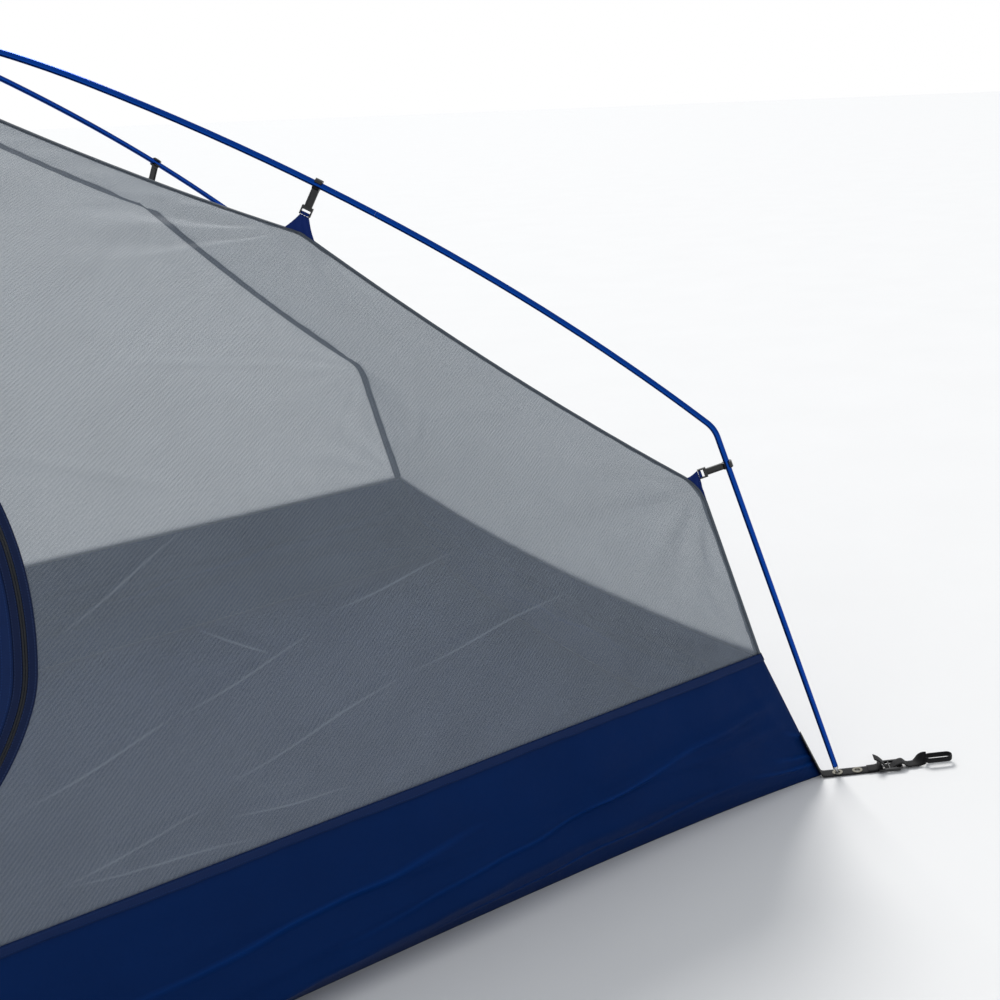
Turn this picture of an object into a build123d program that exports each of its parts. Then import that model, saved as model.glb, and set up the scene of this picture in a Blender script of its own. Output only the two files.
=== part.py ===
from build123d import *
import math
import os

os.makedirs("parts", exist_ok=True)

# ---- driving dimensions, millimetres; origin on the ground under the middle ----
HALF_LENGTH = 1100.0     # half the floor length, along X
HALF_WIDTH = 690.0       # half the floor width, along Y, door side is -Y
WALL_HEIGHT = 215.0      # bathtub wall
SHEET = 1.0              # thickness of every cloth panel as drawn
JOIN = 0.3               # gap between neighbouring cloth panels

# ridge seam, as distance out along the floor diagonal and height
SEAM_TOE = (1215.0, 215.0)
SEAM_BELOW_ELBOW = (1152.0, 455.0)
SEAM_ELBOW = (1146.0, 478.0)
SEAM_ABOVE_ELBOW = (1124.0, 495.0)
SEAM_SAG_LOW = (890.0, 654.0)
SEAM_MID_CLIP = (664.0, 857.0)
SEAM_SAG_HIGH = (451.0, 942.0)
SEAM_TOP_CLIP = (238.0, 1064.0)
SEAM_SAG_CROWN = (119.0, 1076.0)
SEAM_CROWN = (0.0, 1100.0)
CROWN_HOLE = 12.0

# pole: tube, ferrules, shock cord and tip
POLE_OD = 8.5
POLE_ID = 6.9
FERRULE_OD = 6.8
FERRULE_ID = 5.4
CORD_DIA = 2.4
CROWN_Z = 1146.0         # centreline of the lower pole where the two cross
POLE_LIFT = 9.4          # how much higher the upper pole runs
CROWN_RADIUS = 1043.0
ARM_RADIUS = 2950.0
ELBOW_RADIUS = 45.0
CROWN_ANGLE = math.radians(25.3)
ARM_ANGLE = math.radians(42.0)
LEG_ANGLE = math.radians(74.5)
FOOT_Z = 13.8            # height of the cut end of the leg tube
SECTIONS_PER_POLE = 7

# clips on the poles
CLIP_WIDTH = 9.0
CLIP_BAR = 40.3          # pole centre to the bar the cloth tab goes round
CLIP_LEG_S = 1388.0      # elbow clip, measured along the pole from the crown
CLIP_MID_R = 692.0
CLIP_TOP_R = 262.0

# door, drawn in the plane of the lower front wall
DOOR_X = -180.0
DOOR_V = 385.0
DOOR_R = 330.0
DOOR_LEFT = -480.0
DOOR_FOOT = 65.0
DOOR_GAP = 1.2           # half the gap between door and frame
COIL_WIDTH = 3.0
COIL_LOW = 0.1
COIL_HIGH = 1.2

# corner webbing
WEB_WIDTH = 20.0
WEB_LOW = 0.8
WEB_HIGH = 2.6
EYELET_PITCH = 31.0
LOOP_R = 1391.0
LOOP_Z = 4.4

HALF_DIAGONAL = math.hypot(HALF_LENGTH, HALF_WIDTH)
SHARE_X = HALF_LENGTH / HALF_DIAGONAL
SHARE_Y = HALF_WIDTH / HALF_DIAGONAL
DIAGONAL = math.degrees(math.atan2(HALF_WIDTH, HALF_LENGTH))
CORNERS = {
    "front_right": -DIAGONAL,
    "back_right": DIAGONAL,
    "back_left": 180.0 - DIAGONAL,
    "front_left": 180.0 + DIAGONAL,
}


def write(name, shape):
    export_step(shape, f"parts/{name}.step")


def group(pieces):
    solids = []
    for piece in pieces:
        solids.extend(piece.solids())
    return Compound(children=solids)


def turned(shape, angle):
    return Rot(0, 0, angle) * shape


# ---------------------------------------------------------------- cloth shell
def wedge(side, low, high, gap=JOIN):
    reach = 1400.0
    slope = HALF_WIDTH / HALF_LENGTH
    if side in ("front", "back"):
        y_far = -(gap + reach * slope)
        outline = Polyline((0, -gap), (reach, y_far), (-reach, y_far), (0, -gap))
    else:
        outline = Polyline((gap, 0), (gap + reach, -reach * slope),
                           (gap + reach, reach * slope), (gap, 0))
    solid = extrude(make_face(outline), high - low)
    solid = Pos(0, 0, low) * solid
    return turned(solid, 180) if side in ("back", "left") else solid


def seam_shift(point, out, share):
    r, z = point
    if z <= SEAM_BELOW_ELBOW[1]:
        return (r * share + out, z)
    if point == SEAM_ELBOW:
        return (r * share + 0.85 * out, z + 0.45 * out)
    if point == SEAM_CROWN:
        return (0.0, z + out)
    return (r * share + 0.72 * out, z + 0.72 * out)


def seam_wire(out, share):
    p = [seam_shift(q, out, share) for q in (
        SEAM_TOE, SEAM_BELOW_ELBOW, SEAM_ELBOW, SEAM_ABOVE_ELBOW, SEAM_SAG_LOW,
        SEAM_MID_CLIP, SEAM_SAG_HIGH, SEAM_TOP_CLIP, SEAM_SAG_CROWN, SEAM_CROWN)]
    return p


def seam_edges(p):
    return [
        Line(p[0], p[1]),
        Bezier(p[1], p[2], p[3]),
        Bezier(p[3], p[4], p[5]),
        Bezier(p[5], p[6], p[7]),
        Bezier(p[7], p[8], p[9]),
    ]


def layer_face(inner, outer, share):
    a = seam_wire(outer, share)
    b = seam_wire(inner, share)
    edges = seam_edges(a) + seam_edges(b)
    edges = edges + [Line(a[0], b[0]), Line(a[-1], b[-1])]
    return make_face(edges)


def layer(side, inner, outer):
    share = SHARE_Y if side in ("front", "back") else SHARE_X
    reach = 1150.0
    face = layer_face(inner, outer, share)
    plane = Plane(origin=(-reach, 0, 0), x_dir=(0, -1, 0), z_dir=(-1, 0, 0))
    solid = extrude(plane * face, -2 * reach)
    turn = {"front": 0, "right": 90, "back": 180, "left": 270}[side]
    return turned(solid, turn)


def panel(side, inner=-SHEET, outer=0.0):
    solid = layer(side, inner, outer) & wedge(side, 100, 1200)
    return solid - Pos(0, 0, 1100) * Cylinder(CROWN_HOLE, 60)


def wall(side, inner=-SHEET, outer=0.0, low=0.0, high=WALL_HEIGHT - JOIN):
    foot = HALF_WIDTH if side in ("front", "back") else HALF_LENGTH
    share = SHARE_Y if side in ("front", "back") else SHARE_X
    lean = (foot - SEAM_TOE[0] * share) / WALL_HEIGHT
    outline = Polyline(
        (foot + outer - lean * low, low), (foot + outer - lean * high, high),
        (foot + inner - lean * high, high), (foot + inner - lean * low, low),
        (foot + outer - lean * low, low))
    plane = Plane(origin=(-1150, 0, 0), x_dir=(0, -1, 0), z_dir=(-1, 0, 0))
    solid = extrude(plane * make_face(outline), -2300)
    turn = {"front": 0, "right": 90, "back": 180, "left": 270}[side]
    return turned(solid, turn) & wedge(side, -1, 300)


def ridge_tape():
    face = layer_face(0.3, 1.3, 1.0)
    plane = Plane(origin=(0, 0, 0), x_dir=(1, 0, 0), z_dir=(0, -1, 0))
    strip = extrude(plane * face, 5.0, both=True)
    return strip - Pos(0, 0, 1100) * Cylinder(52, 60)


def ridge_keepout():
    plane = Plane(origin=(0, 0, 0), x_dir=(1, 0, 0), z_dir=(0, -1, 0))
    return extrude(plane * layer_face(-20, 1.5, 1.0), 6.0, both=True)


# ---------------------------------------------------------------- door
def door_plane():
    toe = (SEAM_TOE[0] * SHARE_Y, SEAM_TOE[1])
    top = (SEAM_BELOW_ELBOW[0] * SHARE_Y, SEAM_BELOW_ELBOW[1])
    lean = math.atan2(toe[0] - top[0], top[1] - toe[1])
    out = (0, -math.cos(lean), -math.sin(lean) * -1)
    return Plane(origin=(0, -toe[0], toe[1]), x_dir=(1, 0, 0), z_dir=out)


def door_outline(grow):
    disc = Pos(DOOR_X, DOOR_V) * Circle(DOOR_R + grow)
    width = 1200.0
    frame = Pos(DOOR_LEFT - grow + width / 2, DOOR_FOOT - grow + width / 2)
    disc = disc & (frame * Rectangle(width, width))
    left = DOOR_LEFT - grow
    low = DOOR_FOOT - grow
    corner = Pos((left + DOOR_X) / 2, (low + DOOR_V) / 2)
    return disc + corner * Rectangle(DOOR_X - left, DOOR_V - low)


def door_prism(grow):
    face = door_plane() * door_outline(grow)
    return extrude(face, 420, both=True)


def coil(inner, outer):
    band = door_prism(outer) - door_prism(inner)
    band = band & (layer("front", COIL_LOW, COIL_HIGH) & wedge("front", 100, 1200))
    return band - Pos(DOOR_LEFT - 496, 0, 500) * Box(1000, 3000, 1500)


def slider(spot, heading):
    body = Pos(0, 0, 2.45) * Box(14, 11, 1.5)
    body += Pos(0, 5.1, 1.2) * Box(12, 0.8, 1.6)
    body += Pos(0, -5.1, 1.2) * Box(12, 0.8, 1.6)
    bridge = Pos(0, 0, 5.0) * Box(7, 2.2, 4.0)
    bridge -= Pos(0, 0, 5.0) * Rot(90, 0, 0) * Cylinder(1.08, 10)
    return door_plane() * Pos(*spot) * Rot(0, 0, heading) * (body + bridge)


def pull(spot, heading):
    pin = Pos(0, 0, 5.0) * Rot(90, 0, 0) * Cylinder(1.0, 6.4)
    tab = pin
    for side in (-1, 1):
        tab += Pos(4.0, side * 2.6, 5.0) * Box(9.0, 1.2, 1.4)
    plate = Pos(20.0, 0, 5.0) * Box(26, 8, 1.4)
    plate -= Pos(28.5, 0, 5.0) * Cylinder(2.0, 4)
    plate = fillet(plate.edges().filter_by(Axis.Z).group_by(Axis.X)[-1], 2.5)
    return door_plane() * Pos(*spot) * Rot(0, 0, heading) * (tab + plate)


# ---------------------------------------------------------------- poles
ARC_1 = CROWN_RADIUS * CROWN_ANGLE
ARC_2 = ARC_1 + ARM_RADIUS * (ARM_ANGLE - CROWN_ANGLE)
ARC_3 = ARC_2 + ELBOW_RADIUS * (LEG_ANGLE - ARM_ANGLE)


def arc_state(start, radius, angle, length):
    end = angle + length / radius
    r = start[0] + radius * (math.sin(end) - math.sin(angle))
    z = start[1] - radius * (math.cos(angle) - math.cos(end))
    return (r, z, end)


def pole_state(s, lift):
    side = -1.0 if s < 0 else 1.0
    s = abs(s)
    at = (0.0, CROWN_Z + lift, 0.0)
    for limit, start, radius in (
            (ARC_1, 0.0, CROWN_RADIUS), (ARC_2, ARC_1, ARM_RADIUS),
            (ARC_3, ARC_2, ELBOW_RADIUS)):
        step = min(s, limit) - start
        if step <= 0:
            break
        at = arc_state(at, radius, at[2], step)
    rest = max(0.0, s - ARC_3)
    r = at[0] + rest * math.cos(at[2])
    z = at[1] - rest * math.sin(at[2])
    return (side * r, z, side * at[2])


def leg_end(lift):
    knee = pole_state(ARC_3, lift)
    return ARC_3 + (knee[1] - FOOT_Z) / math.sin(LEG_ANGLE)


def arm_at(r_wanted, lift):
    low, high = 0.0, ARC_2
    for _ in range(60):
        mid = 0.5 * (low + high)
        if pole_state(mid, lift)[0] < r_wanted:
            low = mid
        else:
            high = mid
    return low


def path_between(s0, s1, lift):
    breaks = [-ARC_3, -ARC_2, -ARC_1, ARC_1, ARC_2, ARC_3]
    stops = [s0] + [b for b in breaks if s0 + 0.01 < b < s1 - 0.01] + [s1]
    edges = []
    for a, b in zip(stops[:-1], stops[1:]):
        ends = [pole_state(q, lift) for q in (a, 0.5 * (a + b), b)]
        pts = [(q[0], 0, q[1]) for q in ends]
        if abs(a + b) / 2 > ARC_3:
            edges.append(Line(pts[0], pts[2]))
        else:
            edges.append(ThreePointArc(*pts))
    return Wire([e.edge() for e in edges])


def run(s0, s1, lift, outer, inner=0.0):
    path = path_between(s0, s1, lift)
    ring = Circle(outer / 2)
    if inner > 0:
        ring = ring - Circle(inner / 2)
    start = Plane(origin=path @ 0, z_dir=path % 0)
    return sweep(start * ring, path=path)


def section_ends(lift):
    total = 2 * leg_end(lift)
    pitch = total / SECTIONS_PER_POLE
    return [-total / 2 + i * pitch for i in range(SECTIONS_PER_POLE + 1)]


def pole_parts(letter, angle, lift):
    ends = section_ends(lift)
    for i in range(SECTIONS_PER_POLE):
        tube = run(ends[i] + 0.15, ends[i + 1] - 0.15, lift, POLE_OD, POLE_ID)
        write(f"pole_{letter}_section_{i + 1}", turned(tube, angle))
    sleeves = []
    for joint in ends[1:-1]:
        outward = 1.0 if joint > 0 else -1.0
        a, b = sorted((joint - 18 * outward, joint + 45 * outward))
        sleeves.append(turned(run(a, b, lift, FERRULE_OD, FERRULE_ID), angle))
    write(f"pole_{letter}_ferrules", group(sleeves))
    reach = leg_end(lift) - 3.0
    cord = run(-reach, reach, lift, CORD_DIA)
    write(f"pole_{letter}_shock_cord", turned(cord, angle))
    tips = []
    for turn in (0, 180):
        tips.append(turned(tip(lift), angle + turn))
    write(f"pole_{letter}_tips", group(tips))


def tip(lift):
    r, z, heading = pole_state(leg_end(lift), lift)
    body = Pos(0, 0, 1.6) * Cylinder(POLE_OD / 2, 2.8)
    body += Pos(0, 0, -8.8) * Cylinder(FERRULE_OD / 2, 18)
    body += Pos(0, 0, 7.0) * Cylinder(2.5, 8.4)
    body += Pos(0, 0, 11.2) * Sphere(2.5)
    body -= Pos(0, 0, -10) * Cylinder(1.5, 16)
    down = (math.cos(heading), 0, -math.sin(heading))
    return Plane(origin=(r, 0, z), z_dir=down) * body


# ---------------------------------------------------------------- clips
def clip():
    head = Circle(7.4) - Circle(4.5)
    mouth = Polyline((0, 0), (-20, 9), (-20, -12), (0, 0))
    head -= make_face(mouth)
    hook = extrude(Plane.YZ * head, CLIP_WIDTH / 2, both=True)
    stem = Pos(0, 0, -19.0) * Box(CLIP_WIDTH, 4.4, 25)
    for side in (-1, 1):
        stem -= Pos(0, side * 2.2, -20.0) * Box(6.0, 2.0, 20)
    stem += Pos(0, 0, -36.6) * Box(14, 4.4, 12)
    stem -= Pos(0, 0, -39.5) * Box(10.8, 8, 9)
    stem += Pos(0, 0, -CLIP_BAR) * Rot(0, 90, 0) * Cylinder(1.2, 14)
    stem -= Rot(0, 90, 0) * Cylinder(4.5, 40)
    return hook + stem


def pole_plane(s, lift):
    r, z, heading = pole_state(s, lift)
    along = (math.cos(heading), 0, -math.sin(heading))
    out = (math.sin(heading), 0, math.cos(heading))
    return Plane(origin=(r, 0, z), x_dir=along, z_dir=out)


def bezier_at(a, b, c, t):
    u = 1 - t
    return tuple(u * u * a[i] + 2 * u * t * b[i] + t * t * c[i] for i in (0, 1))


def raised(point, out, nr, nz):
    return (point[0] + out * nr, point[1] + out * nz)


def tab_base(which):
    out = 1.7
    if which == 0:
        low = raised(bezier_at(SEAM_TOE, SEAM_TOE, SEAM_BELOW_ELBOW, 0.99), out, 0.96, 0.27)
        peak = raised(bezier_at(SEAM_BELOW_ELBOW, SEAM_ELBOW, SEAM_ABOVE_ELBOW, 0.5),
                      out, 0.85, 0.53)
        high = raised(SEAM_ABOVE_ELBOW, out, 0.60, 0.80)
        return [low, peak, high]
    if which == 1:
        low = bezier_at(SEAM_ABOVE_ELBOW, SEAM_SAG_LOW, SEAM_MID_CLIP, 0.965)
        high = bezier_at(SEAM_MID_CLIP, SEAM_SAG_HIGH, SEAM_TOP_CLIP, 0.035)
        peak = SEAM_MID_CLIP
        return [raised(low, out, 0.66, 0.78), raised(peak, out, 0.5, 1.0),
                raised(high, out, 0.37, 0.93)]
    low = bezier_at(SEAM_MID_CLIP, SEAM_SAG_HIGH, SEAM_TOP_CLIP, 0.965)
    high = bezier_at(SEAM_TOP_CLIP, SEAM_SAG_CROWN, SEAM_CROWN, 0.07)
    return [raised(low, out, 0.5, 0.87), raised(SEAM_TOP_CLIP, out, 0.3, 1.0),
            raised(high, out, 0.1, 1.0)]


def tab(which, plane):
    corners = []
    for x in (-5.2, 5.2):
        spot = plane.from_local_coords(Vector(x, 0, -CLIP_BAR - 1.5))
        corners.append((spot.X, spot.Z))
        spot = plane.from_local_coords(Vector(x, 0, -CLIP_BAR - 2.9))
        corners.append((spot.X, spot.Z))
    outline = [corners[1], corners[0], corners[2], corners[3]] + tab_base(which)
    flat = Plane(origin=(0, 0, 0), x_dir=(1, 0, 0), z_dir=(0, -1, 0))
    face = make_face(Polyline(*outline, outline[0]))
    plate = extrude(flat * face, 0.5, both=True)
    sleeve = Rot(0, 90, 0) * Cylinder(2.3, 10.4)
    sleeve = plane * Pos(0, 0, -CLIP_BAR) * sleeve
    whole = plate + sleeve - ridge_keepout()
    return whole - plane * Pos(0, 0, -CLIP_BAR) * Rot(0, 90, 0) * Cylinder(1.3, 14)


# ---------------------------------------------------------------- crown
def crown_clip():
    body = Pos(0, 0, CROWN_Z + 3.2) * Cylinder(17, 30)
    low = Pos(0, 0, CROWN_Z - 20) * Box(60, POLE_OD + 0.5, 40)
    low += Pos(0, 0, CROWN_Z) * Rot(0, 90, 0) * Cylinder(POLE_OD / 2 + 0.25, 60)
    high_z = CROWN_Z + POLE_LIFT
    high = Pos(0, 0, high_z + 20) * Box(60, POLE_OD + 0.5, 40)
    high += Pos(0, 0, high_z) * Rot(0, 90, 0) * Cylinder(POLE_OD / 2 + 0.25, 60)
    body -= turned(low, -DIAGONAL)
    body -= turned(high, DIAGONAL)
    return body - turned(crown_pin_shape(1.55, 60), -DIAGONAL)


def crown_pin_shape(radius, length):
    return Pos(0, 0, CROWN_Z - 8.2) * Rot(90, 0, 0) * Cylinder(radius, length)


def crown_tab():
    loop = Pos(0, 0, CROWN_Z - 8.2) * Rot(90, 0, 0) * Cylinder(2.6, 8.4)
    strap = Pos(0, 0, CROWN_Z - 26.4) * Box(1.2, 8.4, 35.2)
    foot = Pos(0, 0, SEAM_CROWN[1] + 2.2) * Box(14, 8.4, 1.0)
    whole = loop + strap + foot
    whole -= Pos(0, 0, SEAM_CROWN[1] - 49.7 + 51.4) * Pos(0, 0, -50) * Box(40, 40, 100)
    return turned(whole - crown_pin_shape(1.58, 20), -DIAGONAL)


def crown_patch():
    slope = 0.15
    top = SEAM_CROWN[1] + 0.3
    outline = Polyline((3, top), (50, top - 50 * slope), (50, top - 50 * slope + 1.0),
                       (3, top + 1.0), (3, top))
    flat = Plane(origin=(0, 0, 0), x_dir=(1, 0, 0), z_dir=(0, -1, 0))
    return revolve(flat * make_face(outline), Axis.Z, 360)


# ---------------------------------------------------------------- corner webbing
def ribbon(points, thick, width):
    left, right = [], []
    count = len(points)
    for i, p in enumerate(points):
        a = points[max(i - 1, 0)]
        b = points[min(i + 1, count - 1)]
        d1 = unit(a, p) if i > 0 else unit(p, b)
        d2 = unit(p, b) if i < count - 1 else d1
        n = (-(d1[1] + d2[1]), d1[0] + d2[0])
        size = math.hypot(*n)
        n = (n[0] / size, n[1] / size)
        miter = thick / 2 / max(0.5, n[0] * -d1[1] + n[1] * d1[0])
        left.append((p[0] + n[0] * miter, p[1] + n[1] * miter))
        right.append((p[0] - n[0] * miter, p[1] - n[1] * miter))
    outline = left + right[::-1]
    flat = Plane(origin=(0, 0, 0), x_dir=(1, 0, 0), z_dir=(0, -1, 0))
    face = make_face(Polyline(*outline, outline[0]))
    return extrude(flat * face, width / 2, both=True)


def unit(a, b):
    size = math.hypot(b[0] - a[0], b[1] - a[1])
    return ((b[0] - a[0]) / size, (b[1] - a[1]) / size)


def foot_radius(lift):
    r, z, heading = pole_state(leg_end(lift), lift)
    return r + (z - 1.7) / math.tan(heading)


def corner_web(lift):
    mid = 0.5 * (WEB_LOW + WEB_HIGH)
    lean = (HALF_DIAGONAL - SEAM_TOE[0]) / WALL_HEIGHT
    top = 72.0
    points = [(HALF_DIAGONAL + 1.5 - lean * top, top),
              (HALF_DIAGONAL + 1.9, mid), (LOOP_R - 2.6, mid)]
    strap = ribbon(points, WEB_HIGH - WEB_LOW, WEB_WIDTH)
    ring = Pos(LOOP_R, 0, LOOP_Z) * Rot(90, 0, 0) * Cylinder(3.9, WEB_WIDTH)
    strap = strap + ring
    strap -= Pos(LOOP_R, 0, LOOP_Z) * Rot(90, 0, 0) * Cylinder(2.08, 60)
    for r in (foot_radius(lift), foot_radius(lift) + EYELET_PITCH):
        strap -= Pos(r, 0, mid) * Cylinder(5.0, 10)
    return strap


def eyelet(r):
    body = Pos(0, 0, 1.7) * Cylinder(4.9, 3.2)
    body += Pos(0, 0, 0.4) * Cylinder(8.0, 0.6)
    body += Pos(0, 0, 3.0) * Cylinder(8.0, 0.6)
    return Pos(r, 0, 0) * (body - Pos(0, 0, 1.7) * Cylinder(4.3, 10))


def buckle():
    body = Pos(13.7, 0, 0) * Box(33, 28, 4.2)
    body -= Pos(14, 0, 0) * Box(40, 21.6, 8)
    bars = Rot(90, 0, 0) * Cylinder(2.0, 24)
    bars += Pos(14, 0, 0) * Rot(90, 0, 0) * Cylinder(1.6, 24)
    bars += Pos(27, 0, 0) * Rot(90, 0, 0) * Cylinder(1.6, 24)
    body = body + bars
    lip = Pos(30.5, 0, 1.3) * Rot(0, -25, 0) * Box(7, 26.6, 2.0)
    body = body + lip
    return Pos(LOOP_R, 0, LOOP_Z) * body


def tension_strap():
    mid = LOOP_R + 14
    front = LOOP_R + 27
    points = [(mid - 24, 22), (mid - 8, 9.5), (mid - 5.5, 1.5), (mid + 4, 1.5),
              (front - 3.4, 7.9), (front + 1.0, 9.8), (front + 8.5, 10.8),
              (front + 15, 1.5), (front + 46, 1.5)]
    strap = ribbon(points, 1.5, 18)
    loop = SlotOverall(46, 18) - SlotOverall(42.4, 14.4)
    loop = Pos(front + 65, 0, 0.6) * extrude(loop, 10)
    return strap + loop


# ---------------------------------------------------------------- build
def build_cloth():
    floor = Pos(0, 0, SHEET / 2) * Box(2 * HALF_LENGTH - 3.2, 2 * HALF_WIDTH - 3.2, SHEET)
    write("bathtub_floor", floor)
    bindings = []
    for side in ("front", "back", "left", "right"):
        write(f"bathtub_wall_{side}", wall(side))
        bindings.append(wall(side, 0.1, 0.9, 203.0, 214.0))
    write("bathtub_top_binding", group(bindings))
    front = panel("front")
    write("canopy_front_mesh", front - door_prism(DOOR_GAP))
    write("door_panel", front & door_prism(-DOOR_GAP))
    for side in ("back", "left", "right"):
        write(f"canopy_{side}_panel", panel(side))
    tapes = [turned(ridge_tape(), angle) for angle in CORNERS.values()]
    write("ridge_tapes", group(tapes))


def build_door():
    write("zip_coil_frame", coil(DOOR_GAP, DOOR_GAP + COIL_WIDTH))
    write("zip_coil_door", coil(-DOOR_GAP - COIL_WIDTH, -DOOR_GAP))
    spot = (DOOR_LEFT + 40, DOOR_FOOT)
    write("zip_slider_foot", slider(spot, 0))
    write("zip_pull_foot", pull(spot, 0))
    turn = -62.0
    spot = (DOOR_X + DOOR_R * math.cos(math.radians(turn)),
            DOOR_V + DOOR_R * math.sin(math.radians(turn)))
    write("zip_slider_side", slider(spot, turn - 90))
    write("zip_pull_side", pull(spot, turn - 90))


def build_clips():
    clips, tabs = [], []
    for name, angle in CORNERS.items():
        lift = 0.0 if name in ("front_right", "back_left") else POLE_LIFT
        spots = (CLIP_LEG_S, arm_at(CLIP_MID_R, lift), arm_at(CLIP_TOP_R, lift))
        for which, s in enumerate(spots):
            plane = pole_plane(s, lift)
            clips.append(turned(plane * clip(), angle))
            tabs.append(turned(tab(which, plane), angle))
    write("pole_clips", group(clips))
    write("clip_tabs", group(tabs))


def build_crown():
    write("crown_clip", crown_clip())
    write("crown_pin", turned(crown_pin_shape(1.5, 30), -DIAGONAL))
    write("crown_tab", crown_tab())
    write("crown_patch", crown_patch())


def build_corners():
    webs, eyelets = [], []
    for name, angle in CORNERS.items():
        lift = 0.0 if name in ("front_right", "back_left") else POLE_LIFT
        webs.append(turned(corner_web(lift), angle))
        foot = foot_radius(lift)
        eyelets.append(turned(eyelet(foot), angle))
        eyelets.append(turned(eyelet(foot + EYELET_PITCH), angle))
        write(f"tension_buckle_{name}", turned(buckle(), angle))
        write(f"tension_strap_{name}", turned(tension_strap(), angle))
    write("corner_webbing", group(webs))
    write("corner_eyelets", group(eyelets))


build_cloth()
build_door()
pole_parts("a", -DIAGONAL, 0.0)
pole_parts("b", DIAGONAL, POLE_LIFT)
build_clips()
build_crown()
build_corners()
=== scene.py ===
import math

import bpy
from mathutils import Matrix, Vector, noise
from mathutils.geometry import delaunay_2d_cdt


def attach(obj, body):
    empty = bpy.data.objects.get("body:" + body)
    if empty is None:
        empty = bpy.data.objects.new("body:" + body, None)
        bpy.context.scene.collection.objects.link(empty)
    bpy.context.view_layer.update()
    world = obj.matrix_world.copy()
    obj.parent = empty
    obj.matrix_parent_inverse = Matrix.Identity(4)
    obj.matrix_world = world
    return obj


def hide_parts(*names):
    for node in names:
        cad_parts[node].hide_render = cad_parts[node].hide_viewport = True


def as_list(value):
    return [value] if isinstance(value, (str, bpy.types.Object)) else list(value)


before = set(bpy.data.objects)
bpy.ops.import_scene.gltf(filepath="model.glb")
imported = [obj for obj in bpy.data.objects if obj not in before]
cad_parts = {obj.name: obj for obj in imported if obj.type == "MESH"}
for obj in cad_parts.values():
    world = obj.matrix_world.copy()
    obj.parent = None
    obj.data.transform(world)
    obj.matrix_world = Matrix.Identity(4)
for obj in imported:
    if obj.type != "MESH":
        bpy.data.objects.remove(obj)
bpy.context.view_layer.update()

# ---- sizes, as in part.py, in metres
HALF_L, HALF_W = 1.100, 0.690
DIAG = math.hypot(HALF_L, HALF_W)
SX, SY = HALF_L / DIAG, HALF_W / DIAG
ANGLE = math.atan2(HALF_W, HALF_L)
WALL_H = 0.215
CORNERS = {"front_right": -ANGLE, "back_right": ANGLE,
           "back_left": math.pi - ANGLE, "front_left": math.pi + ANGLE}
SIDES = ("front", "back", "left", "right")
LONG_SIDES = SIDES[:2]
# the second pole crosses over the first
LIFT = {"front_right": 0.0, "back_left": 0.0, "back_right": 0.0094, "front_left": 0.0094}
# the seam over each corner, as (distance from the middle, height), from the wall's top to the crown
TOE, BELOW, ELBOW, ABOVE = (1.215, 0.215), (1.152, 0.455), (1.146, 0.478), (1.124, 0.495)
SAG_LOW, MID, SAG_HIGH, TOP = (0.890, 0.654), (0.664, 0.857), (0.451, 0.942), (0.238, 1.064)
SAG_CROWN, CROWN = (0.119, 1.076), (0.0, 1.100)
# the door's arc and straight sides on the front panel, across and up it
DOOR_X, DOOR_V, DOOR_R, DOOR_LEFT, DOOR_FOOT = -0.180, 0.385, 0.330, -0.480, 0.065
DOOR_GAP = 0.0012
# the loop at the webbing's end
LOOP_R, LOOP_Z = 1.391, 0.0044
# the poles: height of their middle at the crown, then radius, and heading in degrees, of each bend
POLE_TOP = 1.146
POLE_BENDS = ((1.043, 0.0, 25.3), (2.950, 25.3, 42.0), (0.045, 42.0, 74.5))
# the clips: the elbow's, how far along the pole; the others, how far from the middle
CLIP_SPOTS = {"elbow": 1.388, "mid": 0.692, "top": 0.262}
BAR_DROP, LOOP_WRAP = 0.0403, 0.0018
POLE_FOOT = 1.3461 + 0.45
# corner webbing: its width, its middle's height, and how far apart its two eyelets are
WEB_W, WEB_MID, EYELET_STEP = 0.020, 0.0017, 0.031
# the crown patch: height of its middle, fall per metre outwards, and its hole, hem and edge
PATCH_Z, PATCH_FALL, PATCH_HOLE, PATCH_HEM, PATCH_R = 1.1013, 0.15, 0.003, 0.047, 0.050
PIN_Z = POLE_TOP - 0.0082
CLOTH = 0.0006


def lin(r, g, b):
    """An 8-bit screen colour as linear light."""
    return tuple(((c / 255 + 0.055) / 1.055) ** 2.4 if c > 10 else c / 255 / 12.92 for c in (r, g, b))


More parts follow.
